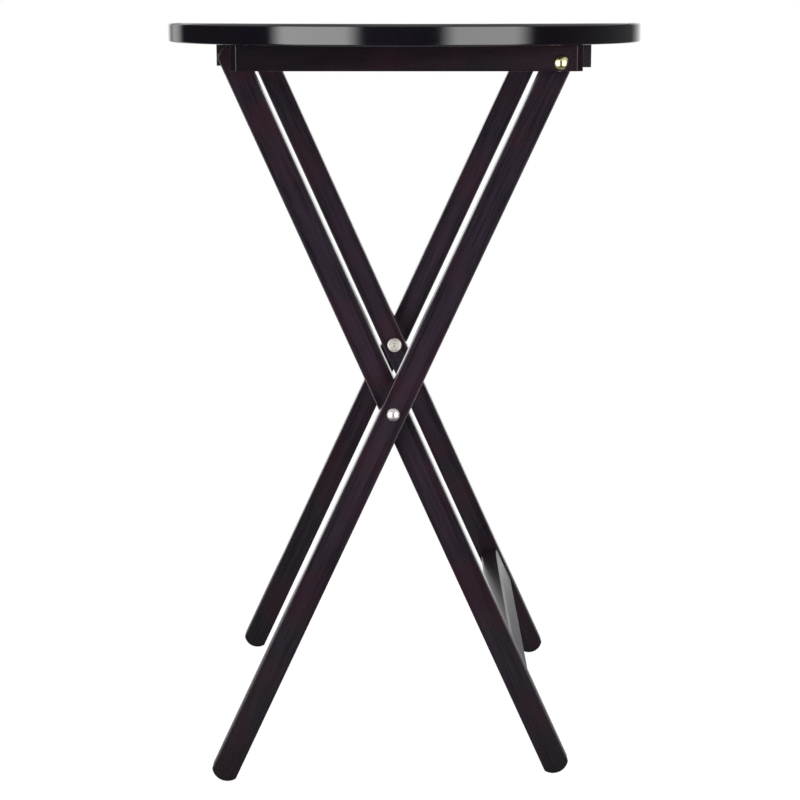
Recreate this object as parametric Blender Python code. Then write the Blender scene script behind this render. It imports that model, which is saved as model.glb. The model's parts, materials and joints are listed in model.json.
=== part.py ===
# Folding tray table: an oval top on two crossed pairs of legs.
# Metres, +Z up. X runs across the narrow way of the top, Y along its length, and the floor is Z = 0.
# The outer legs hang from the rails under the top and slope down to -X.
# The inner legs cross them, slope down to +X and carry the two crosspieces.

import math

import bmesh
import bpy
from mathutils import Matrix, Vector

GAP = 0.0003  # between pieces that touch

# Top: a slightly squared oval board
TOP_HEIGHT = 0.660
TOP_THICKNESS = 0.0175
TOP_HALF_WIDTH = 0.215
TOP_HALF_LENGTH = 0.279
TOP_POWER = 2.15  # 2 would be a true ellipse
TOP_UPPER_ROUND = 0.003
TOP_LOWER_ROUND = 0.0016
TOP_POINTS = 128

# Legs
LEG_WIDTH = 0.0228
LEG_THICKNESS = 0.0175
LEG_EDGE = 0.001
END_RADIUS = 0.0135  # of the feet and of the outer legs' tops
REST_RADIUS = 0.0138  # of the inner legs' tops, which the top rests on
PIVOT_DROP = 0.0141  # from the underside of the top to the pivot bolts
CROSS_X = -0.0096
CROSS_HEIGHT = 0.3314
OUTER_SLOPE = 0.4626  # sideways run for each unit of height
INNER_SLOPE = 0.4483
INNER_CLEAR_LENGTH = 0.325  # between the inner legs' inner faces
WASHER_GAP = 0.0013
WASHER_THICKNESS = 0.0006

# Battens under the top
BATTEN_HEIGHT = 0.021
BATTEN_THICKNESS = 0.016
BATTEN_EDGE = 0.001
RAIL_ENDS = (-0.1432, 0.1460)
RAIL_CHAMFER = 0.005  # on the outer corner of each end
STOP_CLEAT_LENGTH = 0.104
RIGHT_CLEAT_LENGTH = 0.198
RIGHT_CLEAT_X = 0.1633  # outer face

# Crosspieces of the inner legs
CROSSBAR_RADIUS = 0.0095
TENON_RADIUS = 0.006
TENON_LENGTH = 0.012
STRETCHER_THICKNESS = 0.0185
STRETCHER_HEIGHT = 0.0375
STRETCHER_DROP = 0.2598  # from the cross bolts down the inner legs to its middle
STRETCHER_ROUND = 0.0025
DOWEL_RADIUS = 0.004
DOWEL_SPACING = 0.019
DOWEL_IN_LEG = 0.011
DOWEL_IN_STRETCHER = 0.015

# Hardware
SHANK_RADIUS = 0.003
SHANK_BORE = 0.0033
PIVOT_HEAD_RADIUS = 0.0059
PIVOT_HEAD_HEIGHT = 0.0034
CROSS_HEAD_RADIUS = 0.0056
CROSS_HEAD_HEIGHT = 0.0032
SLEEVE_RADIUS = 0.0045
INSERT_LENGTH = 0.014
NUT_RADIUS = 0.0073
NUT_DISC = 0.002
NUT_SLEEVE = 0.012
NUT_SOCKET_RADIUS = 0.0023
NUT_SOCKET_DEPTH = 0.001
WASHER_RADIUS = 0.008
SCREW_HEAD_RADIUS = 0.004
SCREW_SHANK_RADIUS = 0.002
SCREW_SINK = 0.001  # of the head below the batten
SCREW_IN_TOP = 0.012
SCREW_INSET = 0.022  # from a cleat's end to its screw
RAIL_SCREW_SPACING = 0.100

# Worked out from these
UNDERSIDE = TOP_HEIGHT - TOP_THICKNESS
PIVOT_HEIGHT = UNDERSIDE - PIVOT_DROP
UPPER_RISE = PIVOT_HEIGHT - CROSS_HEIGHT
LOWER_RISE = CROSS_HEIGHT - END_RADIUS
PIVOT_X = CROSS_X + OUTER_SLOPE * UPPER_RISE
REST_X = CROSS_X - INNER_SLOPE * UPPER_RISE
INNER_FACE = INNER_CLEAR_LENGTH / 2
INNER_LEG_Y = INNER_FACE + LEG_THICKNESS / 2
OUTER_LEG_INSIDE = INNER_FACE + LEG_THICKNESS + WASHER_GAP
OUTER_LEG_Y = OUTER_LEG_INSIDE + LEG_THICKNESS / 2
OUTER_LEG_OUTSIDE = OUTER_LEG_INSIDE + LEG_THICKNESS
RAIL_INSIDE = OUTER_LEG_OUTSIDE + WASHER_GAP
RAIL_OUTSIDE = RAIL_INSIDE + BATTEN_THICKNESS
CROSS_POINT = Vector((CROSS_X, 0, CROSS_HEIGHT))
PIVOT_POINT = Vector((PIVOT_X, 0, PIVOT_HEIGHT))
OUTER_UP = Vector((OUTER_SLOPE, 0, 1)).normalized()
INNER_UP = Vector((-INNER_SLOPE, 0, 1)).normalized()
SIDES = {"front": -1, "rear": 1}

for old in list(bpy.data.objects):
    bpy.data.objects.remove(old, do_unlink=True)


def material(name, colour, roughness, metallic=0.0):
    made = bpy.data.materials.new(name)
    made.use_nodes = True
    shader = made.node_tree.nodes["Principled BSDF"]
    shader.inputs["Base Color"].default_value = (*colour, 1)
    shader.inputs["Roughness"].default_value = roughness
    shader.inputs["Metallic"].default_value = metallic
    return made


GLOSS_ESPRESSO = ("gloss espresso wood", (0.010, 0.009, 0.009), 0.15)
SATIN_ESPRESSO = ("satin espresso wood", (0.030, 0.022, 0.026), 0.35)
BRASS = ("brass", (0.60, 0.42, 0.18), 0.3, 1.0)
NICKEL = ("nickel plated steel", (0.60, 0.60, 0.62), 0.25, 1.0)
ZINC = ("zinc plated steel", (0.45, 0.45, 0.46), 0.4, 1.0)
BEECH = ("plain beech", (0.55, 0.38, 0.22), 0.6)


def joint_centre(name, point):
    centre = bpy.data.objects.new(name, None)
    centre.location = point
    bpy.context.collection.objects.link(centre)
    return centre


cross_axis = joint_centre("cross_axis", CROSS_POINT)
pivot_axis = joint_centre("pivot_axis", PIVOT_POINT)


def frame(point, x_axis, y_axis):
    # A placement whose own X and Y lie along the given directions
    x_axis, y_axis = Vector(x_axis), Vector(y_axis)
    turned_to = Matrix((x_axis, y_axis, x_axis.cross(y_axis))).transposed()
    return Matrix.Translation(point) @ turned_to.to_4x4()


def finish(name, mesh_data, placed, look, parent):
    # Closes the mesh with its faces outward and hangs the piece on its joint
    bmesh.ops.recalc_face_normals(mesh_data, faces=mesh_data.faces)
    mesh = bpy.data.meshes.new(name)
    mesh_data.to_mesh(mesh)
    mesh_data.free()
    mesh.shade_smooth()
    mesh.set_sharp_from_angle(angle=math.radians(30))
    piece = bpy.data.objects.new(name, mesh)
    bpy.context.collection.objects.link(piece)
    if look:
        mesh.materials.append(material(name + " " + look[0], *look[1:]))
    if parent:
        piece.parent = parent
        placed = Matrix.Translation(-parent.location) @ placed
    piece.matrix_basis = placed
    return piece


def prism(name, outline, thickness, placed, look, parent=None):
    # A flat outline in the frame's XY plane, thickened equally to both sides
    data = bmesh.new()
    face = data.faces.new([data.verts.new((x, y, -thickness / 2)) for x, y in outline])
    grown = bmesh.ops.extrude_face_region(data, geom=[face])
    raised = [item for item in grown["geom"] if isinstance(item, bmesh.types.BMVert)]
    bmesh.ops.translate(data, verts=raised, vec=(0, 0, thickness))
    return finish(name, data, placed, look, parent)


def turned(name, profile, placed, look, parent=None, segments=24):
    # A profile of (radius, height) points spun about the frame's Z; a radius of 0 is a tip on the axis
    data = bmesh.new()
    rings = []
    for radius, height in profile:
        if radius == 0:
            rings.append([data.verts.new((0, 0, height))])
            continue
        angles = [2 * math.pi * i / segments for i in range(segments)]
        rings.append([data.verts.new((radius * math.cos(angle), radius * math.sin(angle), height))
                      for angle in angles])
    pairs = list(zip(rings, rings[1:]))
    if profile[0][0] and profile[-1][0]:  # a ring, which closes on itself
        pairs.append((rings[-1], rings[0]))
    for low, high in pairs:
        for i in range(segments):
            j = (i + 1) % segments
            corners = [low[i % len(low)], low[j % len(low)], high[j % len(high)], high[i % len(high)]]
            data.faces.new(list(dict.fromkeys(corners)))
    return finish(name, data, placed, look, parent)


def soften(piece, width, steps=3):
    bevel = piece.modifiers.new("soft edges", "BEVEL")
    bevel.width = width
    bevel.segments = steps
    bevel.limit_method = "ANGLE"
    bevel.angle_limit = math.radians(28)


def cut(piece, cutter):
    hole = piece.modifiers.new("cut " + cutter.name, "BOOLEAN")
    hole.operation = "DIFFERENCE"
    hole.object = cutter


def guide(cutter):
    cutter.hide_render = True
    cutter.display_type = "WIRE"
    return cutter


def arc(centre, radius, start, stop, steps):
    angles = [start + (stop - start) * i / steps for i in range(steps + 1)]
    return [(centre[0] + radius * math.cos(a), centre[1] + radius * math.sin(a)) for a in angles]


def rounded_rectangle(low, high, radii, steps=4):
    # Corner radii go anticlockwise from the low corner; a single step makes a chamfer
    corners = [(low[0], low[1]), (high[0], low[1]), (high[0], high[1]), (low[0], high[1])]
    inward = [(1, 1), (-1, 1), (-1, -1), (1, -1)]
    outline = []
    for number, (corner, way, radius) in enumerate(zip(corners, inward, radii)):
        if radius == 0:
            outline.append(corner)
            continue
        centre = (corner[0] + way[0] * radius, corner[1] + way[1] * radius)
        start = math.pi + number * math.pi / 2
        outline += arc(centre, radius, start, start + math.pi / 2, steps)
    return outline


def grown_profile(profile):
    # The same turned shape with the gap all round, for the hole that holds it
    low, high = profile[0][1], profile[-1][1]
    grown = []
    for radius, height in profile:
        end = GAP * ((height == high) - (height == low))
        grown.append((radius + GAP if radius else 0, height + end))
    return grown


def along_y(x, y, z, way=1):
    # A frame whose own Z points along +Y or -Y
    return frame((x, y, z), (1, 0, 0), (0, 0, -way))


def top_outline(grow):
    points = []
    for i in range(TOP_POINTS):
        angle = 2 * math.pi * i / TOP_POINTS
        c, s = math.cos(angle), math.sin(angle)
        x = math.copysign(abs(c) ** (2 / TOP_POWER), c) * (TOP_HALF_WIDTH + grow)
        y = math.copysign(abs(s) ** (2 / TOP_POWER), s) * (TOP_HALF_LENGTH + grow)
        points.append((x, y))
    return points


def make_top():
    # Stacked outlines follow the rounded edge from the underside up
    levels = []
    for step in range(3):
        a = math.pi / 2 * step / 2
        levels.append((-TOP_LOWER_ROUND * (1 - math.sin(a)), TOP_LOWER_ROUND * (1 - math.cos(a))))
    for step in range(4):
        a = math.pi / 2 * step / 3
        rise = TOP_THICKNESS - TOP_UPPER_ROUND * (1 - math.sin(a))
        levels.append((-TOP_UPPER_ROUND * (1 - math.cos(a)), rise))
    data = bmesh.new()
    rings = [[data.verts.new((x, y, z)) for x, y in top_outline(grow)] for grow, z in levels]
    data.faces.new(rings[0])
    data.faces.new(rings[-1])
    for low, high in zip(rings, rings[1:]):
        for i in range(TOP_POINTS):
            j = (i + 1) % TOP_POINTS
            data.faces.new((low[i], low[j], high[j], high[i]))
    placed = Matrix.Translation((0, 0, UNDERSIDE))
    return finish("tabletop", data, placed, GLOSS_ESPRESSO, pivot_axis)


def make_leg(name, up, y, upper_radius, parent):
    # A straight bar through the crossing point; each end is an arc about the leg's centre line
    half = LEG_WIDTH / 2
    upper = math.asin(half / upper_radius)
    lower = math.asin(half / END_RADIUS)
    right = math.pi / 2
    outline = arc((0, UPPER_RISE / up.z), upper_radius, right - upper, right + upper, 9)
    outline += arc((0, -LOWER_RISE / up.z), END_RADIUS, -right - lower, -right + lower, 9)
    across = Vector((up.z, 0, -up.x))
    placed = frame(CROSS_POINT + Vector((0, y, 0)), across, up)
    leg = prism(name, outline, LEG_THICKNESS, placed, SATIN_ESPRESSO, parent)
    soften(leg, LEG_EDGE)
    return leg


def dome(radius, height, steps=3):
    # Crown of a bolt head, from its rim to its tip, as a cap of a sphere
    ball = (radius ** 2 + height ** 2) / (2 * height)
    edge = math.asin(radius / ball)
    points = []
    for step in range(steps):
        a = edge * (1 - step / steps)
        points.append((ball * math.sin(a), height - ball * (1 - math.cos(a))))
    return points + [(0, height)]


def dome_bolt(name, head_radius, head_height, length, placed, look, parent):
    # The head stands on the frame's +Z side and the shank runs to -Z
    rim = 0.0006
    crown = [(r, h + GAP + rim) for r, h in dome(head_radius, head_height - rim)]
    shank = [(0, -length), (SHANK_RADIUS - 0.0005, -length), (SHANK_RADIUS, -length + 0.0005)]
    profile = shank + [(SHANK_RADIUS, GAP), (head_radius, GAP)] + crown
    turned(name, profile, placed, look, parent, segments=24)


def washer(name, y, x, z, parent):
    half = WASHER_THICKNESS / 2
    ring = [(SHANK_BORE, -half), (WASHER_RADIUS, -half), (WASHER_RADIUS, half), (SHANK_BORE, half)]
    turned(name, ring, along_y(x, y, z), ZINC, parent)


def make_rail(side, way, top):
    low = (RAIL_ENDS[0], RAIL_INSIDE)
    high = (RAIL_ENDS[1], RAIL_OUTSIDE)
    chamfers = (0, 0, RAIL_CHAMFER, RAIL_CHAMFER)
    outline = [(x, way * y) for x, y in rounded_rectangle(low, high, chamfers, 1)]
    placed = Matrix.Translation((0, 0, UNDERSIDE - GAP - BATTEN_HEIGHT / 2))
    rail = prism(side + "_rail", outline, BATTEN_HEIGHT, placed, SATIN_ESPRESSO, pivot_axis)
    soften(rail, BATTEN_EDGE, 2)
    middle = sum(RAIL_ENDS) / 2
    y = way * (RAIL_INSIDE + RAIL_OUTSIDE) / 2
    for number in range(3):
        x = middle + (number - 1) * RAIL_SCREW_SPACING
        wood_screw("%s_rail_screw_%d" % (side, number + 1), x, y, rail, top)
    return rail


def make_cleat(side, low_x, high_x, length, top):
    outline = rounded_rectangle((low_x, -length / 2), (high_x, length / 2), (0, 0, 0, 0))
    placed = Matrix.Translation((0, 0, UNDERSIDE - GAP - BATTEN_HEIGHT / 2))
    name = "left_stop_cleat" if side == "left" else "right_cleat"
    cleat = prism(name, outline, BATTEN_HEIGHT, placed, SATIN_ESPRESSO, pivot_axis)
    soften(cleat, BATTEN_EDGE, 2)
    for number, way in enumerate((-1, 1)):
        y = way * (length / 2 - SCREW_INSET)
        wood_screw("%s_cleat_screw_%d" % (side, number + 1), (low_x + high_x) / 2, y, cleat, top)


def wood_screw(name, x, y, batten, top):
    # Driven up through the batten: a countersunk head, a plain shank and a pointed end
    length = BATTEN_HEIGHT - SCREW_SINK + SCREW_IN_TOP
    cone = SCREW_HEAD_RADIUS - SCREW_SHANK_RADIUS
    profile = [(0, 0), (SCREW_HEAD_RADIUS, 0), (SCREW_HEAD_RADIUS, 0.0004),
               (SCREW_SHANK_RADIUS, 0.0004 + cone), (SCREW_SHANK_RADIUS, length - 0.004), (0, length)]
    placed = Matrix.Translation((x, y, UNDERSIDE - BATTEN_HEIGHT + SCREW_SINK))
    turned(name, profile, placed, ZINC, pivot_axis, segments=16)
    opened = grown_profile(profile)
    opened[0] = (0, -2 * SCREW_SINK)
    opened[1] = (SCREW_HEAD_RADIUS + GAP, -2 * SCREW_SINK)
    cutter = guide(turned(name + "_hole", opened, placed, None, pivot_axis, segments=16))
    cut(batten, cutter)
    cut(top, cutter)


def bore(piece, radius, x, z, y_from, y_to, parent, segments=24):
    # A hole along Y between two depths
    profile = [(0, 0), (radius, 0), (radius, abs(y_to - y_from)), (0, abs(y_to - y_from))]
    name = piece.name + "_bore_%d" % len(piece.modifiers)
    placed = along_y(x, min(y_from, y_to), z)
    cut(piece, guide(turned(name, profile, placed, None, parent, segments)))


def make_pivot(side, way, leg, rail):
    # Brass bolt through the rail into a threaded sleeve in the outer leg
    x, z = PIVOT_X, PIVOT_HEIGHT
    reach = BATTEN_THICKNESS + WASHER_GAP + 0.012
    dome_bolt(side + "_pivot_bolt", PIVOT_HEAD_RADIUS, PIVOT_HEAD_HEIGHT, reach,
              along_y(x, way * RAIL_OUTSIDE, z, way), BRASS, None)
    washer(side + "_rail_washer", way * (OUTER_LEG_OUTSIDE + WASHER_GAP / 2), x, z, None)
    sleeve = [(SHANK_BORE, -INSERT_LENGTH), (SLEEVE_RADIUS, -INSERT_LENGTH),
              (SLEEVE_RADIUS, 0), (SHANK_BORE, 0)]
    turned(side + "_pivot_insert", sleeve, along_y(x, way * OUTER_LEG_OUTSIDE, z, way), BRASS)
    over = 0.002
    bore(leg, SLEEVE_RADIUS + GAP, x, z, way * (OUTER_LEG_OUTSIDE - INSERT_LENGTH - GAP),
         way * (OUTER_LEG_OUTSIDE + over), None)
    bore(rail, SHANK_BORE, x, z, way * (RAIL_INSIDE - over), way * (RAIL_OUTSIDE + over), pivot_axis)


def make_crossing(side, way, outer, inner):
    # Dome-headed bolt from outside, held by a sleeve nut whose disc lies on the inner leg's inner face
    x, z = CROSS_X, CROSS_HEIGHT
    reach = OUTER_LEG_OUTSIDE - INNER_FACE - 0.004
    dome_bolt(side + "_cross_bolt", CROSS_HEAD_RADIUS, CROSS_HEAD_HEIGHT, reach,
              along_y(x, way * OUTER_LEG_OUTSIDE, z, way), NICKEL, None)
    washer(side + "_cross_washer", way * (OUTER_LEG_INSIDE - WASHER_GAP / 2), x, z, None)
    # Along the nut's own axis 0 is the leg's face, and the disc stands out of it
    blind = -0.001
    rim = 0.0006
    profile = [(0, GAP + NUT_DISC), (NUT_RADIUS - rim, GAP + NUT_DISC), (NUT_RADIUS, GAP + NUT_DISC - rim),
               (NUT_RADIUS, GAP), (SLEEVE_RADIUS, GAP), (SLEEVE_RADIUS, -NUT_SLEEVE),
               (SHANK_BORE, -NUT_SLEEVE), (SHANK_BORE, blind), (0, blind)]
    placed = along_y(x, way * INNER_FACE, z, -way)
    nut = turned(side + "_cross_nut", profile, placed, NICKEL, cross_axis, segments=24)
    socket_floor = GAP + NUT_DISC - NUT_SOCKET_DEPTH
    socket = [(0, socket_floor), (NUT_SOCKET_RADIUS, socket_floor), (NUT_SOCKET_RADIUS, 0.004), (0, 0.004)]
    cut(nut, guide(turned(side + "_nut_socket", socket, placed, None, cross_axis, segments=6)))
    over = 0.002
    bore(outer, SHANK_BORE, x, z, way * (OUTER_LEG_INSIDE - over), way * (OUTER_LEG_OUTSIDE + over), None)
    bore(inner, SLEEVE_RADIUS + GAP, x, z, way * (INNER_FACE - over),
         way * (INNER_FACE + LEG_THICKNESS + over), cross_axis)


def make_crossbar(legs):
    # Round bar with turned-down ends let into the inner legs, under the top
    shoulder = INNER_FACE - GAP
    tip = INNER_FACE + TENON_LENGTH
    profile = [(0, -tip), (TENON_RADIUS - 0.001, -tip), (TENON_RADIUS, -tip + 0.001),
               (TENON_RADIUS, -shoulder), (CROSSBAR_RADIUS, -shoulder)]
    profile += [(radius, -height) for radius, height in reversed(profile)]
    turned("upper_crossbar", profile, along_y(REST_X, 0, PIVOT_HEIGHT), SATIN_ESPRESSO, cross_axis)
    for side, way in SIDES.items():
        bore(legs[side], TENON_RADIUS + GAP, REST_X, PIVOT_HEIGHT, way * (INNER_FACE - 0.002),
             way * (tip + GAP), cross_axis)


def make_stretcher(legs):
    # Flat bar on edge between the inner legs, its tall way along them, on two dowels at each end
    middle = CROSS_POINT - INNER_UP * STRETCHER_DROP
    half = (STRETCHER_THICKNESS / 2, STRETCHER_HEIGHT / 2)
    outline = rounded_rectangle((-half[0], -half[1]), half, [STRETCHER_ROUND] * 4)
    across = Vector((INNER_UP.z, 0, -INNER_UP.x))
    length = INNER_CLEAR_LENGTH - 2 * GAP
    bar = prism("lower_stretcher", outline, length, frame(middle, across, INNER_UP), SATIN_ESPRESSO,
                cross_axis)
    ends = (INNER_FACE - DOWEL_IN_STRETCHER, INNER_FACE + DOWEL_IN_LEG)
    chamfer = 0.001
    for side, way in SIDES.items():
        for number in range(2):
            spot = middle + INNER_UP * DOWEL_SPACING * (0.5 - number)
            reach = ends[1] - ends[0]
            profile = [(0, 0), (DOWEL_RADIUS - chamfer, 0), (DOWEL_RADIUS, chamfer),
                       (DOWEL_RADIUS, reach - chamfer), (DOWEL_RADIUS - chamfer, reach), (0, reach)]
            name = "%s_stretcher_dowel_%d" % (side, number + 1)
            turned(name, profile, along_y(spot.x, way * ends[0], spot.z, way), BEECH, cross_axis, 16)
            for piece in (bar, legs[side]):
                bore(piece, DOWEL_RADIUS + GAP, spot.x, spot.z, way * (ends[0] - GAP),
                     way * (ends[1] + GAP), cross_axis, 16)


tabletop = make_top()
inner_legs = {}
for side, way in SIDES.items():
    outer_leg = make_leg(side + "_outer_leg", OUTER_UP, way * OUTER_LEG_Y, END_RADIUS, None)
    inner_legs[side] = make_leg(side + "_inner_leg", INNER_UP, way * INNER_LEG_Y, REST_RADIUS, cross_axis)
    rail = make_rail(side, way, tabletop)
    make_pivot(side, way, outer_leg, rail)
    make_crossing(side, way, outer_leg, inner_legs[side])
make_crossbar(inner_legs)
make_stretcher(inner_legs)
stop_face = REST_X - CROSSBAR_RADIUS - GAP
make_cleat("left", stop_face - BATTEN_THICKNESS, stop_face, STOP_CLEAT_LENGTH, tabletop)
make_cleat("right", RIGHT_CLEAT_X - BATTEN_THICKNESS, RIGHT_CLEAT_X, RIGHT_CLEAT_LENGTH, tabletop)
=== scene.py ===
import json
import math

import bmesh
import bpy
from mathutils import Matrix, Vector


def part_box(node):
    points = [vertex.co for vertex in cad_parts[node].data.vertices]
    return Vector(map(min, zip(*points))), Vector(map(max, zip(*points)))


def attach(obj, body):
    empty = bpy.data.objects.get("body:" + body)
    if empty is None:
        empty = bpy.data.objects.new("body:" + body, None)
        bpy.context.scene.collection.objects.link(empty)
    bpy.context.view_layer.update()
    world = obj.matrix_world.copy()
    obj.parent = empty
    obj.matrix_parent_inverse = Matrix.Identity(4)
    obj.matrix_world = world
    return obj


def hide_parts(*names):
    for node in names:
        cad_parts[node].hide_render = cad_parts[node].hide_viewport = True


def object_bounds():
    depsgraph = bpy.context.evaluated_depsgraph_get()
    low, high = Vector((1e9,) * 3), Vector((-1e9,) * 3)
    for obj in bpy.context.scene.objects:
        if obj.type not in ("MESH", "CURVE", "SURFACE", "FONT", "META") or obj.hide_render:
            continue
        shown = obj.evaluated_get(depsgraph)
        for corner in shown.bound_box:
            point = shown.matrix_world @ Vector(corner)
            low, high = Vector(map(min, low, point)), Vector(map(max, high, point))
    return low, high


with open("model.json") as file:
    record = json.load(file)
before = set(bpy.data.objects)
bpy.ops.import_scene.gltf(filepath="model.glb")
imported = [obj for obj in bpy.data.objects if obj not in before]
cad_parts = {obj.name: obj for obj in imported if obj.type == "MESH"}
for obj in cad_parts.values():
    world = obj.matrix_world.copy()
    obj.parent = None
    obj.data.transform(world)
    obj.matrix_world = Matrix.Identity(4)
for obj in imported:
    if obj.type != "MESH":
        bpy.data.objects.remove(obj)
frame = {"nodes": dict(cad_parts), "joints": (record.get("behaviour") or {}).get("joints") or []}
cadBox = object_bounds()

scene = bpy.context.scene
joints = {joint["name"]: Vector(joint["pos_m"]) for joint in frame["joints"]}
crossPoint = joints["leg_fold"]
hingePoint = joints["top_tilt"]
sides = {"front": -1, "rear": 1}
gap = 0.0003  # between neighbouring pieces
overcut = 0.002  # how far a cutter reaches past the face it opens
boreFacets = 48
woodSharp, metalSharp = 50, 40  # in degrees: an edge that turns more than this is shaded sharp
print("frame loaded:", len(frame["nodes"]), "nodes")


# Shapes

def middleOf(node):
    low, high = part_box(node)
    return (low + high) / 2


restPoint = middleOf("upper_crossbar")


def basis(origin, across, up):
    # A local frame: its X is across, its Y is up and its Z is what is left
    x = Vector(across).normalized()
    y = Vector(up).normalized()
    z = x.cross(y)
    turn = Matrix((x, y, z)).transposed().to_4x4()
    return Matrix.Translation(origin) @ turn


def alongY(origin, way=1):
    # A local frame whose own Z points out along +Y or -Y
    return basis(origin, (1, 0, 0), (0, 0, -way))


def arc(centre, radius, start, stop, steps):
    points = []
    for i in range(steps + 1):
        angle = start + (stop - start) * i / steps
        points.append((centre[0] + radius * math.cos(angle), centre[1] + radius * math.sin(angle)))
    return points


def newPiece(name, data, placed, material, body, *nodes):
    bmesh.ops.recalc_face_normals(data, faces=data.faces[:])
    mesh = bpy.data.meshes.new(name)
    data.to_mesh(mesh)
    data.free()
    mesh.transform(placed)  # the place is in the mesh, as it is in the frame's own nodes
    mesh.shade_smooth()
    mesh.materials.append(material)
    piece = bpy.data.objects.new(name, mesh)
    scene.collection.objects.link(piece)
    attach(piece, body)
    if nodes:
        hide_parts(*nodes)
    return piece


def applyAll(piece):
    # Bakes the modifiers into the mesh, so that every view and the export see the same surface
    evaluated = piece.evaluated_get(bpy.context.evaluated_depsgraph_get())
    baked = bpy.data.meshes.new_from_object(evaluated)
    piece.modifiers.clear()
    old = piece.data
    piece.data = baked
    bpy.data.meshes.remove(old)


def slabMesh(outline, thickness, edge, segments, everyEdge=False):
    # A flat outline thickened to both sides of its plane, with its rims or all its edges rounded
    data = bmesh.new()
    base = data.faces.new([data.verts.new((x, y, -thickness / 2)) for x, y in outline])
    grown = bmesh.ops.extrude_face_region(data, geom=[base])
    raised = [item for item in grown["geom"] if isinstance(item, bmesh.types.BMVert)]
    bmesh.ops.translate(data, verts=raised, vec=(0, 0, thickness))
    flatEdge = 1e-7
    rounded = [e for e in data.edges
               if everyEdge or abs(e.verts[0].co.z - e.verts[1].co.z) < flatEdge]
    bmesh.ops.bevel(data, geom=rounded, offset=edge, segments=segments, profile=0.5,
                    affect="EDGES", clamp_overlap=True)
    return data


def turnedMesh(profile, segments):
    # A profile of (radius, height) spun about Z; a radius of 0 closes on the axis
    data = bmesh.new()
    rings = []
    for radius, height in profile:
        if radius == 0:
            rings.append([data.verts.new((0, 0, height))])
            continue
        ring = []
        for i in range(segments):
            angle = 2 * math.pi * i / segments
            ring.append(data.verts.new((radius * math.cos(angle), radius * math.sin(angle), height)))
        rings.append(ring)
    for low, high in zip(rings, rings[1:]):
        for i in range(segments):
            j = (i + 1) % segments
            corners = [low[i % len(low)], low[j % len(low)], high[j % len(high)], high[i % len(high)]]
            data.faces.new(list(dict.fromkeys(corners)))
    return data


def flatShading(piece):
    # Keeps flats flat beside rounded edges
    weighted = piece.modifiers.new("even shading", "WEIGHTED_NORMAL")
    weighted.keep_sharp = True


def cutWith(piece, data, placed):
    # Takes a closed shape out of a piece once bakeCuts has run
    bmesh.ops.recalc_face_normals(data, faces=data.faces[:])
    mesh = bpy.data.meshes.new("cutter")
    data.to_mesh(mesh)
    data.free()
    cutter = bpy.data.objects.new("cutter", mesh)
    cutter.matrix_world = placed
    scene.collection.objects.link(cutter)
    hole = piece.modifiers.new("hole", "BOOLEAN")
    hole.operation = "DIFFERENCE"
    hole.solver = "EXACT"
    hole.object = cutter


def bakeCuts(piece, sharpDegrees):
    # Applies the cuts and removes the shapes that made them
    bpy.context.view_layer.update()
    cutters = [hole.object for hole in piece.modifiers]
    applyAll(piece)
    for cutter in cutters:
        mesh = cutter.data
        bpy.data.objects.remove(cutter)
        bpy.data.meshes.remove(mesh)
    piece.data.set_sharp_from_angle(angle=math.radians(sharpDegrees))


def drill(piece, origin, radius, depthFrom, depthTo):
    # A hole along Y between two depths
    data = turnedMesh([(0, depthFrom), (radius, depthFrom), (radius, depthTo), (0, depthTo)],
                      boreFacets)
    cutWith(piece, data, alongY((origin.x, 0, origin.z)))


def cutCross(piece, size, taper, placed, turn=0):
    # A cross recess: two bars at right angles, shorter at the bottom by the taper
    for quarter in (0, 1):
        bar = bmesh.new()
        bmesh.ops.create_cube(bar, size=1)
        bmesh.ops.scale(bar, vec=size, verts=bar.verts[:])
        for vert in bar.verts:
            if vert.co.z < 0:
                vert.co.x *= taper
        cutWith(piece, bar, placed @ Matrix.Rotation(turn + quarter * math.pi / 2, 4, "Z"))


# Materials

def hexColour(text):
    # sRGB hex to linear
    channels = [int(text[i:i + 2], 16) / 255 for i in (1, 3, 5)]
    return (*[c / 12.92 if c <= 0.04045 else ((c + 0.055) / 1.055) ** 2.4 for c in channels], 1)


def addNode(tree, kind, values=None, links=None, **settings):
    node = tree.nodes.new("ShaderNode" + kind)
    for name, value in settings.items():
        setattr(node, name, value)
    for socket, value in (values or {}).items():
        node.inputs[socket].default_value = value
    for socket, source in (links or {}).items():
        tree.links.new(source, node.inputs[socket])
    return node


def newMaterial(name):
    material = bpy.data.materials.new(name)
    material.use_nodes = True
    shader = material.node_tree.nodes["Principled BSDF"]
    return material, material.node_tree, shader


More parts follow.
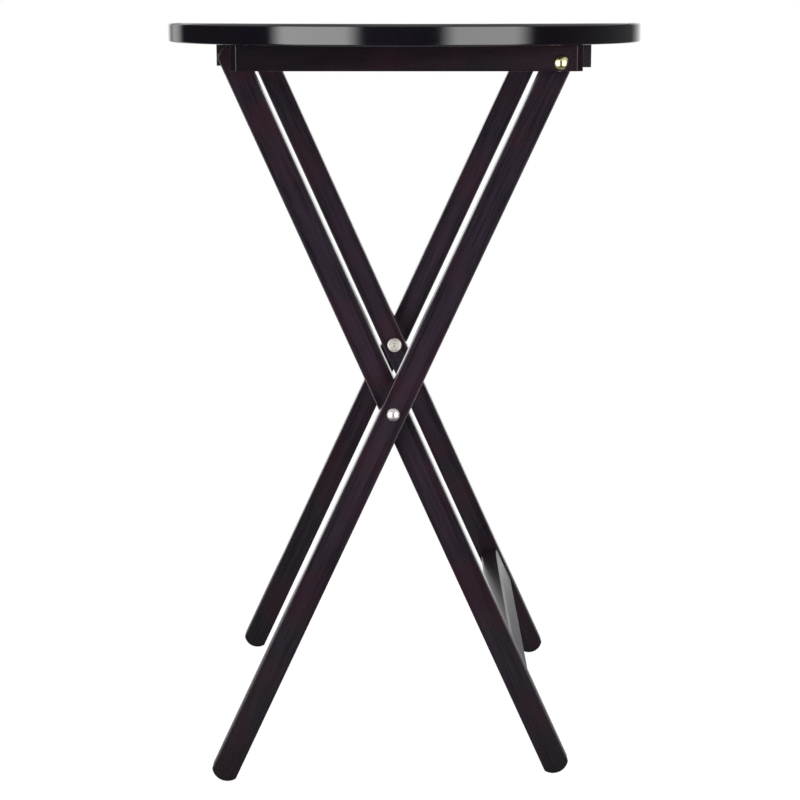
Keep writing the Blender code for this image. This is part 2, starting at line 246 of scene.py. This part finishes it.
def stainedWood(name, look):
    # Wood: long fine grain, short open pores, broad patches where stain took unevenly, a wavy film
    material, tree, shader = newMaterial(name)
    place = addNode(tree, "TexCoord")
    turn = (0, math.radians(look.get("lean", 0)), 0)
    grainSize = [look["grainWidthMm"] / 1000] * 3
    grainSize[look["along"]] = look["grainLengthMm"] / 1000
    grainSpace = addNode(tree, "Mapping", {"Rotation": turn, "Scale": grainSize},
                         {"Vector": place.outputs["Object"]}, vector_type="TEXTURE")
    grain = addNode(tree, "TexNoise", {"Scale": 1.0, "Detail": 5.0, "Roughness": 0.6},
                    {"Vector": grainSpace.outputs[0]})
    poreSize = [look["poreWidthMm"] / 1000] * 3
    poreSize[look["along"]] = look["poreLengthMm"] / 1000
    poreSpace = addNode(tree, "Mapping", {"Rotation": turn, "Scale": poreSize},
                        {"Vector": place.outputs["Object"]}, vector_type="TEXTURE")
    pores = addNode(tree, "TexNoise", {"Scale": 1.0, "Detail": 2.0, "Roughness": 0.5},
                    {"Vector": poreSpace.outputs[0]})
    poreMask = addNode(tree, "MapRange", {"From Min": 0.62, "From Max": 0.74},
                       {"Value": pores.outputs[0]}, interpolation_type="SMOOTHSTEP")
    patchScale = 1000 / look["patchMm"]
    patches = addNode(tree, "TexNoise", {"Scale": patchScale, "Detail": 3.0, "Roughness": 0.55},
                      {"Vector": place.outputs["Object"]})
    patchMask = addNode(tree, "MapRange", {"From Min": 0.42, "From Max": 0.64},
                        {"Value": patches.outputs[0]}, interpolation_type="SMOOTHSTEP")
    grainMask = addNode(tree, "MapRange", {"From Min": 0.34, "From Max": 0.66},
                        {"Value": grain.outputs[0]})
    wood = addNode(tree, "Mix", {6: hexColour(look["dark"]), 7: hexColour(look["light"])},
                   {0: grainMask.outputs[0]}, data_type="RGBA")
    patchShare = addNode(tree, "Math", {1: look["patchAmount"]}, {0: patchMask.outputs[0]},
                         operation="MULTIPLY")
    red = addNode(tree, "Mix", {7: hexColour(look["patch"])},
                  {0: patchShare.outputs[0], 6: wood.outputs[2]}, data_type="RGBA")
    pored = addNode(tree, "Mix", {7: hexColour(look["pore"])},
                    {0: poreMask.outputs[0], 6: red.outputs[2]}, data_type="RGBA")
    # Lacquer is thin on the arrises, where the wood shows a little paler
    shape = addNode(tree, "NewGeometry")
    edges = addNode(tree, "MapRange",
                    {"From Min": 0.515, "From Max": 0.60, "To Max": look["edgeAmount"]},
                    {"Value": shape.outputs["Pointiness"]}, interpolation_type="SMOOTHSTEP")
    worn = addNode(tree, "Mix", {7: hexColour(look["edge"])},
                   {0: edges.outputs[0], 6: pored.outputs[2]}, data_type="RGBA")
    tree.links.new(worn.outputs[2], shader.inputs["Base Color"])
    film = addNode(tree, "TexNoise", {"Scale": 1000 / look["filmMm"], "Detail": 2.0},
                   {"Vector": place.outputs["Object"]})
    gloss = addNode(tree, "MapRange",
                    {"To Min": look["roughness"] * 0.85, "To Max": look["roughness"] * 1.15},
                    {"Value": patches.outputs[0]})
    dull = addNode(tree, "Math", {1: 0.10}, {0: poreMask.outputs[0]}, operation="MULTIPLY")
    rough = addNode(tree, "Math", {}, {0: gloss.outputs[0], 1: dull.outputs[0]}, operation="ADD")
    tree.links.new(rough.outputs[0], shader.inputs["Roughness"])
    sunken = addNode(tree, "Math", {1: -1.0}, {0: poreMask.outputs[0]}, operation="MULTIPLY")
    grainBump = addNode(tree, "Bump", {"Strength": look["grainBump"], "Distance": 0.0001},
                        {"Height": sunken.outputs[0]})
    ridges = addNode(tree, "Bump", {"Strength": look["ridgeBump"], "Distance": 0.0001},
                     {"Height": grain.outputs[0], "Normal": grainBump.outputs[0]})
    waves = addNode(tree, "Bump", {"Strength": look["filmBump"], "Distance": 0.0001},
                    {"Height": film.outputs[0], "Normal": ridges.outputs[0]})
    tree.links.new(waves.outputs[0], shader.inputs["Normal"])
    shader.inputs["IOR"].default_value = 1.5
    shader.inputs["Specular IOR Level"].default_value = look["shine"]
    if look.get("coat"):
        shader.inputs["Coat Weight"].default_value = look["coat"]
        shader.inputs["Coat Roughness"].default_value = look["coatRoughness"]
    return material


def platedMetal(name, look):
    # Plated or drawn metal: softly clouded in tone and roughness, with fine specks in its surface
    material, tree, shader = newMaterial(name)
    place = addNode(tree, "TexCoord")
    cloud = addNode(tree, "TexNoise", {"Scale": 1000.0 / look["cloudMm"], "Detail": 3.0},
                    {"Vector": place.outputs["Object"]})
    cloudMask = addNode(tree, "MapRange", {"From Min": 0.35, "From Max": 0.70},
                        {"Value": cloud.outputs[0]})
    tone = addNode(tree, "Mix", {6: hexColour(look["light"]), 7: hexColour(look["dark"])},
                   {0: cloudMask.outputs[0]}, data_type="RGBA")
    tree.links.new(tone.outputs[2], shader.inputs["Base Color"])
    specks = addNode(tree, "TexNoise", {"Scale": 1000.0 / look["scratchMm"], "Detail": 2.0},
                     {"Vector": place.outputs["Object"]})
    rough = addNode(tree, "MapRange",
                    {"To Min": look["roughness"] * 0.7, "To Max": look["roughness"] * 1.4},
                    {"Value": cloud.outputs[0]})
    tree.links.new(rough.outputs[0], shader.inputs["Roughness"])
    bump = addNode(tree, "Bump", {"Strength": look["bump"], "Distance": 0.00003},
                   {"Height": specks.outputs[0]})
    tree.links.new(bump.outputs[0], shader.inputs["Normal"])
    shader.inputs["Metallic"].default_value = 1.0
    return material


# Rubberwood under near-black stain and rubbed gloss lacquer: dark, glassy, with a trace of grain
glossLook = dict(dark="#07070a", light="#0e0c12", patch="#110b11", pore="#050406", edge="#201b20",
                 along=1, grainWidthMm=2.2, grainLengthMm=60, poreWidthMm=0.7, poreLengthMm=7,
                 patchMm=70, patchAmount=0.35, edgeAmount=0.25, filmMm=6, roughness=0.07, shine=0.5,
                 grainBump=0.08, ridgeBump=0.04, filmBump=0.10)
glossLacquered = stainedWood("gloss lacquered espresso rubberwood", glossLook)

# The same wood under sprayed satin lacquer: charcoal with brownish patches and soft highlights
legLook = dict(dark="#0e0b0f", light="#1e181f", patch="#221018", pore="#070507", edge="#302832",
               along=2, grainWidthMm=1.6, grainLengthMm=42, poreWidthMm=0.7, poreLengthMm=6,
               patchMm=42, patchAmount=0.6, edgeAmount=0.4, filmMm=3, roughness=0.19, shine=0.30,
               grainBump=0.12, ridgeBump=0.06, filmBump=0.08)
legLeans = {"outer": math.degrees(math.atan2(hingePoint.x - crossPoint.x, hingePoint.z - crossPoint.z)),
            "inner": -math.degrees(math.atan2(crossPoint.x - restPoint.x, restPoint.z - crossPoint.z))}
satinLegs = {pair: stainedWood("satin lacquered espresso rubberwood, %s legs" % pair,
                               dict(legLook, lean=lean)) for pair, lean in legLeans.items()}

# Battens are darker than the legs and a little redder
battenLook = dict(legLook, dark="#09070a", light="#130e13", patch="#1a0b11", edge="#2c252e",
                  along=0, patchMm=55, roughness=0.18, shine=0.28)
satinRails = stainedWood("satin lacquered espresso rubberwood, rails", battenLook)
satinCrosswise = stainedWood("satin lacquered espresso rubberwood, crosspieces", dict(
    battenLook, along=1, roughness=0.29, shine=0.35))

# Brass, drawn and lacquered: warm pale yellow with sharp reflections
lacqueredBrass = platedMetal("lacquered drawn brass", dict(
    light="#ddd3a4", dark="#c2b685", cloudMm=3, scratchMm=0.4, roughness=0.22, bump=0.10))

# Nickel on cold-headed steel: neutral and bright with faint clouding
brightNickel = platedMetal("bright nickel plated steel", dict(
    light="#c6c0c0", dark="#aea9aa", cloudMm=4, scratchMm=0.5, roughness=0.36, bump=0.15))

# The same nickel over the nut's stamped face: evenly frosted
frostedNickel = platedMetal("frosted nickel plated steel", dict(
    light="#bebbb5", dark="#a5a29c", cloudMm=3, scratchMm=0.5, roughness=0.44, bump=0.2))

# Zinc on stamped steel: dull blue-grey spangle
dullZinc = platedMetal("dull zinc plated steel", dict(
    light="#b6b9bd", dark="#8f9296", cloudMm=2, scratchMm=0.5, roughness=0.38, bump=0.3))

# Beech dowels, unfinished: pale tan with short flecks
beechLook = dict(dark="#b08a5c", light="#c9a678", patch="#bf9568", pore="#8e6b43", edge="#d2b084",
                 along=1, grainWidthMm=0.8, grainLengthMm=14, poreWidthMm=0.4, poreLengthMm=2.5,
                 patchMm=8, patchAmount=0.4, edgeAmount=0.2, filmMm=2, roughness=0.6, shine=0.4,
                 grainBump=0.3, ridgeBump=0.3, filmBump=0.0)
plainBeech = stainedWood("plain beech", beechLook)
print("materials made:", len(bpy.data.materials))


# Top

topPlan = dict(power=2.15, points=320, upperRound=0.003, lowerRound=0.0016, segments=8)


def ovalOutline(halfWidth, halfLength, power, points):
    outline = []
    for i in range(points):
        angle = 2 * math.pi * i / points
        c, s = math.cos(angle), math.sin(angle)
        x = math.copysign(abs(c) ** (2 / power), c) * halfWidth
        y = math.copysign(abs(s) ** (2 / power), s) * halfLength
        outline.append((x, y))
    return outline


def makeTop(plan):
    low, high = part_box("tabletop")
    halfWidth = (high.x - low.x) / 2
    halfLength = (high.y - low.y) / 2
    thickness = high.z - low.z
    levels = []
    for step in range(plan["segments"] + 1):
        angle = math.pi / 2 * step / plan["segments"]
        radius = plan["lowerRound"]
        levels.append((-radius * (1 - math.sin(angle)), radius * (1 - math.cos(angle))))
    for step in range(plan["segments"] + 1):
        angle = math.pi / 2 * step / plan["segments"]
        radius = plan["upperRound"]
        levels.append((-radius * (1 - math.cos(angle)), thickness - radius * (1 - math.sin(angle))))
    data = bmesh.new()
    rings = []
    for grow, z in levels:
        outline = ovalOutline(halfWidth + grow, halfLength + grow, plan["power"], plan["points"])
        rings.append([data.verts.new((x, y, z)) for x, y in outline])
    data.faces.new(rings[0])
    data.faces.new(rings[-1])
    count = plan["points"]
    for lower, upper in zip(rings, rings[1:]):
        for i in range(count):
            j = (i + 1) % count
            data.faces.new((lower[i], lower[j], upper[j], upper[i]))
    placed = Matrix.Translation((0, 0, low.z))
    piece = newPiece("ovalTop", data, placed, glossLacquered, "top", "tabletop")
    flatShading(piece)


makeTop(topPlan)


# Rails and cleats under the top

# A screw's well is straight down to its first radius and depth, and coned down to its second
battenPlan = dict(edge=0.0004, chamfer=0.005, segments=4, pivotBore=0.0034,
                  well=((0.0045, 0.0016), (0.0024, 0.0040)), wellBelow=0.003, wellFacets=32)


def makeRail(side, way, plan):
    low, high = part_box(side + "_rail")
    halfX, halfY = (high.x - low.x) / 2, (high.y - low.y) / 2
    cut = plan["chamfer"]
    outline = [(-halfX, -halfY), (halfX, -halfY), (halfX, halfY - cut), (halfX - cut, halfY),
               (cut - halfX, halfY), (-halfX, halfY - cut)]
    outline = [(x, way * y) for x, y in outline]
    data = slabMesh(outline, high.z - low.z, plan["edge"], plan["segments"], everyEdge=True)
    placed = Matrix.Translation(middleOf(side + "_rail"))
    piece = newPiece(side + "Rail", data, placed, satinRails, "top", side + "_rail")
    return piece


def makeCleat(name, node, plan):
    low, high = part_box(node)
    half = (high - low) / 2
    outline = [(-half.x, -half.y), (half.x, -half.y), (half.x, half.y), (-half.x, half.y)]
    data = slabMesh(outline, high.z - low.z, plan["edge"], plan["segments"], everyEdge=True)
    placed = Matrix.Translation(middleOf(node))
    piece = newPiece(name, data, placed, satinCrosswise, "top", node)
    return piece


def openScrewHoles(piece, nodes, plan):
    # A countersunk well for each screw head, cut up from below
    (wide, straight), (narrow, deep) = plan["well"]
    below = -plan["wellBelow"]
    for node in nodes:
        low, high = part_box(node)
        data = turnedMesh([(0, below), (wide, below), (wide, straight), (narrow, deep), (0, deep)],
                          plan["wellFacets"])
        centre = middleOf(node)
        cutWith(piece, data, Matrix.Translation((centre.x, centre.y, low.z)))


for side, way in sides.items():
    rail = makeRail(side, way, battenPlan)
    openScrewHoles(rail, ["%s_rail_screw_%d" % (side, number) for number in (1, 2, 3)], battenPlan)
    low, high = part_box(side + "_rail")
    drill(rail, hingePoint, battenPlan["pivotBore"], low.y - overcut, high.y + overcut)
    bakeCuts(rail, woodSharp)
    flatShading(rail)
for name, node in (("stopCleat", "left_stop_cleat"), ("rightCleat", "right_cleat")):
    cleat = makeCleat(name, node, battenPlan)
    edge = node.split("_")[0]
    openScrewHoles(cleat, ["%s_cleat_screw_%d" % (edge, number) for number in (1, 2)], battenPlan)
    bakeCuts(cleat, woodSharp)
    flatShading(cleat)
print("top, rails and cleats made")


# Legs

legPlan = dict(width=0.0228, edge=0.001, segments=5, arcSteps=28, footRadius=0.0135, topRadius=0.0135,
               restRadius=0.0138, shankBore=0.0034, sleeveBore=0.0048, insertDepth=0.0145)


def makeLeg(name, node, headPoint, headRadius, body, plan, holes):
    low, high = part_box(node)
    y = (low.y + high.y) / 2
    thickness = high.y - low.y
    cross = Vector((crossPoint.x, y, crossPoint.z))
    head = Vector((headPoint.x, y, headPoint.z))
    up = (head - cross).normalized()
    footRadius = plan["footRadius"]
    footRun = (crossPoint.z - low.z - footRadius) / up.z
    headRun = (head - cross).length
    half = plan["width"] / 2
    upper = math.asin(half / headRadius)
    lower = math.asin(half / footRadius)
    right = math.pi / 2
    outline = arc((0, headRun), headRadius, right - upper, right + upper, plan["arcSteps"])
    outline += arc((0, -footRun), footRadius, -right - lower, -right + lower, plan["arcSteps"])
    data = slabMesh(outline, thickness, plan["edge"], plan["segments"])
    placed = basis(cross, (up.z, 0, -up.x), up)
    pair = "outer" if body == "outer_legs" else "inner"
    leg = newPiece(name, data, placed, satinLegs[pair], body, node)
    for point, radius, near, far in holes:
        drill(leg, point, radius, near, far)
    bakeCuts(leg, woodSharp)
    flatShading(leg)


for side, way in sides.items():
    low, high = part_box(side + "_outer_leg")
    inLow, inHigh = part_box(side + "_inner_leg")
    outside = max(abs(low.y), abs(high.y))
    depths = sorted((way * (outside + overcut), way * (outside - legPlan["insertDepth"])))
    outerHoles = [(crossPoint, legPlan["shankBore"], low.y - overcut, high.y + overcut),
                  (hingePoint, legPlan["sleeveBore"], *depths)]
    innerHoles = [(crossPoint, legPlan["sleeveBore"], inLow.y - overcut, inHigh.y + overcut)]
    makeLeg(side + "OuterLeg", side + "_outer_leg", hingePoint, legPlan["topRadius"], "outer_legs",
            legPlan, outerHoles)
    makeLeg(side + "InnerLeg", side + "_inner_leg", restPoint, legPlan["restRadius"], "inner_frame",
            legPlan, innerHoles)
print("legs made")


# Crosspieces of the inner legs

crosspiecePlan = dict(edge=0.0025, segments=5, thickness=0.0185, height=0.0375, endEdge=0.0004,
                      endSegments=2, facets=64, tenon=0.006, tenonChamfer=0.001, shoulderEdge=0.0005)


def makeStretcher(plan):
    low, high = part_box("lower_stretcher")
    cross = Vector((crossPoint.x, 0, crossPoint.z))
    up = (Vector((restPoint.x, 0, restPoint.z)) - cross).normalized()
    half = (plan["thickness"] / 2, plan["height"] / 2)
    edge = plan["edge"]
    outline = []
    for signX, signY, start in ((1, 1, 0), (-1, 1, 1), (-1, -1, 2), (1, -1, 3)):
        corner = (signX * (half[0] - edge), signY * (half[1] - edge))
        outline += arc(corner, edge, start * math.pi / 2, (start + 1) * math.pi / 2, plan["segments"])
    data = slabMesh(outline, high.y - low.y, plan["endEdge"], plan["endSegments"])
    placed = basis(middleOf("lower_stretcher"), (up.z, 0, -up.x), up)
    piece = newPiece("lowerStretcher", data, placed, satinCrosswise, "inner_frame", "lower_stretcher")
    piece.data.set_sharp_from_angle(angle=math.radians(woodSharp))
    flatShading(piece)


def makeCrossbar(plan):
    low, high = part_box("upper_crossbar")
    radius = (high.z - low.z) / 2
    tip = high.y
    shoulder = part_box("rear_inner_leg")[0].y - gap
    tenon, chamfer, edge = plan["tenon"], plan["tenonChamfer"], plan["shoulderEdge"]
    half = [(0, -tip), (tenon - chamfer, -tip), (tenon, chamfer - tip), (tenon, -shoulder),
            (radius - edge, -shoulder), (radius - 0.3 * edge, 0.3 * edge - shoulder),
            (radius, edge - shoulder)]
    profile = half + [(r, -h) for r, h in reversed(half)]
    data = turnedMesh(profile, plan["facets"])
    placed = alongY(restPoint)
    piece = newPiece("upperCrossbar", data, placed, satinCrosswise, "inner_frame", "upper_crossbar")
    piece.data.set_sharp_from_angle(angle=math.radians(woodSharp))


makeStretcher(crosspiecePlan)
makeCrossbar(crosspiecePlan)
print("crosspieces made")


# Hardware

boltPlan = dict(facets=72, shank=0.003, chamfer=0.0005, rimHeight=0.0006, rimRound=0.0002, domeSteps=14)
crossRecess = dict(size=(0.0044, 0.0010, 0.004), taper=0.45, depth=0.0012)

# The nut's face in rings: radius from the middle, then from the rim inwards, each with its depth below
# the face's highest ring
nutPlan = dict(facets=72, sharp=15, sleeve=0.0045, bore=0.0033, web=0.001, socket=0.0018,
               socketDepth=0.0019, middle=((0, 0.0011), (0.0018, 0.0011), (0.0024, 0.0007)),
               rim=((0.0022, 0.0006), (0.0016, 0.0001), (0.0012, 0), (0.0006, 0), (0.0002, 0.0003),
                    (0, 0.0007)))

washerPlan = dict(facets=72, bore=0.0033, rim=0.00015)

# Land, cone and plain are where those parts end, up from the head's face. The thread's valley starts
# and ends at the two shares of its pitch
screwPlan = dict(facets=36, rim=0.0002, land=0.0005, cone=0.0025, plain=0.012, shank=0.002, root=0.0014,
                 pitch=0.0016, valley=(0.3, 0.6), point=0.004, runout=0.002,
                 driver=(0.0042, 0.0009, 0.0028), turn=0.3)


def domeProfile(radius, height, rim, steps):
    # A spherical cap on a short rim
    rise = height - rim
    ball = (radius ** 2 + rise ** 2) / (2 * rise)
    edge = math.asin(radius / ball)
    points = []
    for step in range(steps):
        angle = edge * (1 - step / steps)
        points.append((ball * math.sin(angle), rim + rise - ball * (1 - math.cos(angle))))
    return points + [(0, rim + rise)]


def makeBolt(name, node, faceY, way, point, material, body, plan, recess):
    low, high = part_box(node)
    headRadius = (high.z - low.z) / 2
    tip = min(abs(low.y), abs(high.y)) - abs(faceY)
    height = max(abs(low.y), abs(high.y)) - abs(faceY) - gap
    shank, chamfer, rim = plan["shank"], plan["chamfer"], plan["rimRound"]
    profile = [(0, tip), (shank - chamfer, tip), (shank, tip + chamfer), (shank, gap),
               (headRadius - rim, gap), (headRadius, gap + rim)]
    dome = domeProfile(headRadius, height, plan["rimHeight"], plan["domeSteps"])
    profile += [(r, h + gap) for r, h in dome]
    data = turnedMesh(profile, plan["facets"])
    placed = alongY((point.x, faceY, point.z), way)
    piece = newPiece(name, data, placed, material, body, node)
    if recess:
        floor = gap + height - recess["depth"]
        lift = Matrix.Translation((0, 0, floor + recess["size"][2] / 2))
        cutCross(piece, recess["size"], recess["taper"], placed @ lift)
    bakeCuts(piece, metalSharp)


def makeNut(side, way, plan):
    node = side + "_cross_nut"
    low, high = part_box(node)
    radius = (high.z - low.z) / 2
    legLow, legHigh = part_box(side + "_inner_leg")
    legFace = min(abs(legLow.y), abs(legHigh.y))
    disc = legFace - min(abs(low.y), abs(high.y))
    deep = max(abs(low.y), abs(high.y)) - legFace
    sleeve, bore, web = plan["sleeve"], plan["bore"], plan["web"]
    profile = [(r, disc - depth) for r, depth in plan["middle"]]
    profile += [(radius - inwards, disc - depth) for inwards, depth in plan["rim"]]
    profile += [(radius, gap), (sleeve, gap), (sleeve, -deep), (bore, -deep), (bore, -web), (0, -web)]
    data = turnedMesh(profile, plan["facets"])
    placed = alongY((crossPoint.x, way * legFace, crossPoint.z), -way)
    piece = newPiece(side + "CrossNut", data, placed, frostedNickel, "inner_frame", node)
    hexagon = bmesh.new()
    bmesh.ops.create_cone(hexagon, cap_ends=True, segments=6, radius1=plan["socket"],
                          radius2=plan["socket"], depth=2 * overcut)
    sunk = Matrix.Translation((0, 0, disc - plan["socketDepth"] + overcut))
    cutWith(piece, hexagon, placed @ sunk)
    bakeCuts(piece, plan["sharp"])


def makeWasher(name, node, body, plan):
    low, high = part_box(node)
    radius = (high.z - low.z) / 2
    half = (high.y - low.y) / 2
    rim, bore = plan["rim"], plan["bore"]
    profile = [(bore, half - rim), (bore + rim, half), (radius - rim, half), (radius, half - rim),
               (radius, rim - half), (radius - rim, -half), (bore + rim, -half), (bore, rim - half),
               (bore, half - rim)]
    data = turnedMesh(profile, plan["facets"])
    bmesh.ops.remove_doubles(data, verts=data.verts[:], dist=1e-6)
    piece = newPiece(name, data, alongY(middleOf(node)), dullZinc, body, node)
    piece.data.set_sharp_from_angle(angle=math.radians(metalSharp))


def makeScrew(name, node, plan):
    low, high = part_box(node)
    radius = (high.x - low.x) / 2
    length = high.z - low.z
    rim, shank, root, pitch = plan["rim"], plan["shank"], plan["root"], plan["pitch"]
    down, up = plan["valley"]
    profile = [(0, 0), (radius - rim, 0), (radius, rim), (radius, plan["land"]),
               (shank, plan["cone"]), (shank, plan["plain"])]
    height = plan["plain"]
    while height < length - plan["point"] - plan["runout"]:
        profile += [(root, height + pitch * down), (root, height + pitch * up), (shank, height + pitch)]
        height += pitch
    profile += [(root, length - plan["point"]), (0, length)]
    data = turnedMesh(profile, plan["facets"])
    centre = middleOf(node)
    placed = Matrix.Translation((centre.x, centre.y, low.z))
    piece = newPiece(name, data, placed, dullZinc, "top", node)
    cutCross(piece, plan["driver"], 1, placed, plan["turn"])
    bakeCuts(piece, metalSharp)


for side, way in sides.items():
    railLow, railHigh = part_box(side + "_rail")
    railFace = way * max(abs(railLow.y), abs(railHigh.y))
    legLow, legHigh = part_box(side + "_outer_leg")
    legFace = way * max(abs(legLow.y), abs(legHigh.y))
    makeBolt(side + "PivotBolt", side + "_pivot_bolt", railFace, way, hingePoint, lacqueredBrass,
             "outer_legs", boltPlan, None)
    makeBolt(side + "CrossBolt", side + "_cross_bolt", legFace, way, crossPoint, brightNickel,
             "outer_legs", boltPlan, crossRecess)
    makeNut(side, way, nutPlan)
    makeWasher(side + "RailWasher", side + "_rail_washer", "outer_legs", washerPlan)
    makeWasher(side + "CrossWasher", side + "_cross_washer", "outer_legs", washerPlan)
    for number in (1, 2, 3):
        makeScrew("%sRailScrew%d" % (side, number), "%s_rail_screw_%d" % (side, number), screwPlan)
    frame["nodes"][side + "_pivot_insert"].data.materials[0] = lacqueredBrass
    for number in (1, 2):
        frame["nodes"]["%s_stretcher_dowel_%d" % (side, number)].data.materials[0] = plainBeech
for edge in ("left", "right"):
    for number in (1, 2):
        makeScrew("%sCleatScrew%d" % (edge, number), "%s_cleat_screw_%d" % (edge, number), screwPlan)
print("hardware made")


# Floor

# The camera sees mostly the glow, by the share given, and the table sees only the paint
floorPlan = dict(reach=0.65, facets=96, below=0.0004, colour="#989899", cloud="#909092",
                 roughness=0.6, specular=0.1, seen=1.08, share=0.93)


def makeFloor(plan):
    # Lit from below as well as from above, so the shadows on it are faint, with slow clouds of tone
    material, tree, shader = newMaterial("backlit matt white floor")
    place = addNode(tree, "TexCoord")
    cloud = addNode(tree, "TexNoise", {"Scale": 1.5, "Detail": 2.0},
                    {"Vector": place.outputs["Object"]})
    tone = addNode(tree, "Mix", {6: hexColour(plan["colour"]), 7: hexColour(plan["cloud"])},
                   {0: cloud.outputs[0]}, data_type="RGBA")
    tree.links.new(tone.outputs[2], shader.inputs["Base Color"])
    shader.inputs["Roughness"].default_value = plan["roughness"]
    shader.inputs["Specular IOR Level"].default_value = plan["specular"]
    glow = addNode(tree, "Emission", {"Strength": plan["seen"]})
    ray = addNode(tree, "LightPath")
    lit = addNode(tree, "Math", {1: plan["share"]}, {0: ray.outputs["Is Camera Ray"]},
                  operation="MULTIPLY")
    both = addNode(tree, "MixShader", {},
                   {0: lit.outputs[0], 1: shader.outputs[0], 2: glow.outputs[0]})
    tree.links.new(both.outputs[0], tree.nodes["Material Output"].inputs["Surface"])
    data = bmesh.new()
    bmesh.ops.create_circle(data, cap_ends=True, segments=plan["facets"], radius=plan["reach"])
    mesh = bpy.data.meshes.new("floor")
    data.to_mesh(mesh)
    data.free()
    mesh.materials.append(material)
    floor = bpy.data.objects.new("floor", mesh)
    floor.location.z = cadBox[0][2] - plan["below"]
    scene.collection.objects.link(floor)


makeFloor(floorPlan)


# Light: white behind the table, two soft panels in front of it, dark between and beside them

# Bearings go round from the camera's side, 0, towards +X. Bearings and heights are in degrees: where
# the light starts, is full, is last full and ends
surroundPlan = dict(seen=1.0, dim=0.02, above=0.55, aboveFrom=(28, 50), panels=(
    # Left softbox, then right softbox
    dict(bearing=(-74, -62, -29, -17), height=(-45, -26, 10, 26), power=6.8),
    dict(bearing=(13, 25, 55, 70), height=(-45, -26, 10, 26), power=6.0),
    # Wings at the ends of the backdrop
    dict(bearing=(-160, -151, -147, -138), height=(-60, -40, 30, 60), power=0.9),
    dict(bearing=(60, 135, 150, 165), height=(-60, -40, 30, 60), power=0.12),
    # Backdrop, in two halves that meet behind the table
    dict(bearing=(142, 168, 181, 182), height=(-91, -90, 80, 90), power=1.3),
    dict(bearing=(-182, -181, -166, -152), height=(-91, -90, 80, 90), power=1.3)))
overheadPlan = dict(power=1.8, spread=150)


def makeWorld(plan):
    world = bpy.data.worlds.new("studio surround")
    scene.world = world
    world.use_nodes = True
    tree = world.node_tree
    back = tree.nodes["Background"]
    place = addNode(tree, "TexCoord")
    parts = addNode(tree, "SeparateXYZ", {}, {"Vector": place.outputs["Generated"]})
    towards = addNode(tree, "Math", {1: -1.0}, {0: parts.outputs["Y"]}, operation="MULTIPLY")
    bearing = addNode(tree, "Math", {}, {0: parts.outputs["X"], 1: towards.outputs[0]},
                      operation="ARCTAN2")
    height = addNode(tree, "Math", {}, {0: parts.outputs["Z"]}, operation="ARCSINE")
    rising = addNode(tree, "MapRange", {"From Min": math.radians(plan["aboveFrom"][0]),
                                        "From Max": math.radians(plan["aboveFrom"][1]),
                                        "To Min": plan["dim"], "To Max": plan["above"]},
                     {"Value": height.outputs[0]}, interpolation_type="SMOOTHSTEP")
    total = rising.outputs[0]
    for panel in plan["panels"]:
        share = None
        for source, limits in ((bearing, panel["bearing"]), (height, panel["height"])):
            start, full, last, end = (math.radians(limit) for limit in limits)
            grows = addNode(tree, "MapRange", {"From Min": start, "From Max": full},
                            {"Value": source.outputs[0]}, interpolation_type="SMOOTHSTEP")
            fades = addNode(tree, "MapRange",
                            {"From Min": last, "From Max": end, "To Min": 1.0, "To Max": 0.0},
                            {"Value": source.outputs[0]}, interpolation_type="SMOOTHSTEP")
            both = addNode(tree, "Math", {}, {0: grows.outputs[0], 1: fades.outputs[0]},
                           operation="MULTIPLY")
            if share:
                both = addNode(tree, "Math", {}, {0: share.outputs[0], 1: both.outputs[0]},
                               operation="MULTIPLY")
            share = both
        lit = addNode(tree, "Math", {1: panel["power"]}, {0: share.outputs[0]}, operation="MULTIPLY")
        brighter = addNode(tree, "Math", {}, {0: total, 1: lit.outputs[0]}, operation="MAXIMUM")
        total = brighter.outputs[0]
    # The camera sees plain white, and only the table sees the panels
    ray = addNode(tree, "LightPath")
    seen = addNode(tree, "Mix", {3: plan["seen"]}, {0: ray.outputs["Is Camera Ray"], 2: total},
                   data_type="FLOAT")
    tree.links.new(seen.outputs[0], back.inputs["Strength"])
    back.inputs["Color"].default_value = (1, 1, 1, 1)


def makeOverhead(plan):
    data = bpy.data.lights.new("overhead softbox", "SUN")
    data.energy = plan["power"]
    data.angle = math.radians(plan["spread"])
    overhead = bpy.data.objects.new("overhead softbox", data)
    scene.collection.objects.link(overhead)


makeWorld(surroundPlan)
makeOverhead(overheadPlan)


# Camera

# Tilt is in degrees down from level, and lens and sensor are in mm
cameraPlan = dict(location=(-0.0039, -1.872, 0.6715), tilt=11.07, lens=90, sensor=36,
                  clip=(0.05, 100))


def makeCamera(plan):
    data = bpy.data.cameras.new("camera")
    data.lens = plan["lens"]
    data.sensor_width = plan["sensor"]
    data.clip_start, data.clip_end = plan["clip"]
    camera = bpy.data.objects.new("camera", data)
    camera.location = plan["location"]
    camera.rotation_euler = (math.radians(90 - plan["tilt"]), 0, 0)
    scene.collection.objects.link(camera)
    scene.camera = camera


makeCamera(cameraPlan)
scene.view_settings.view_transform = "Standard"
print("stage, lights and camera made")
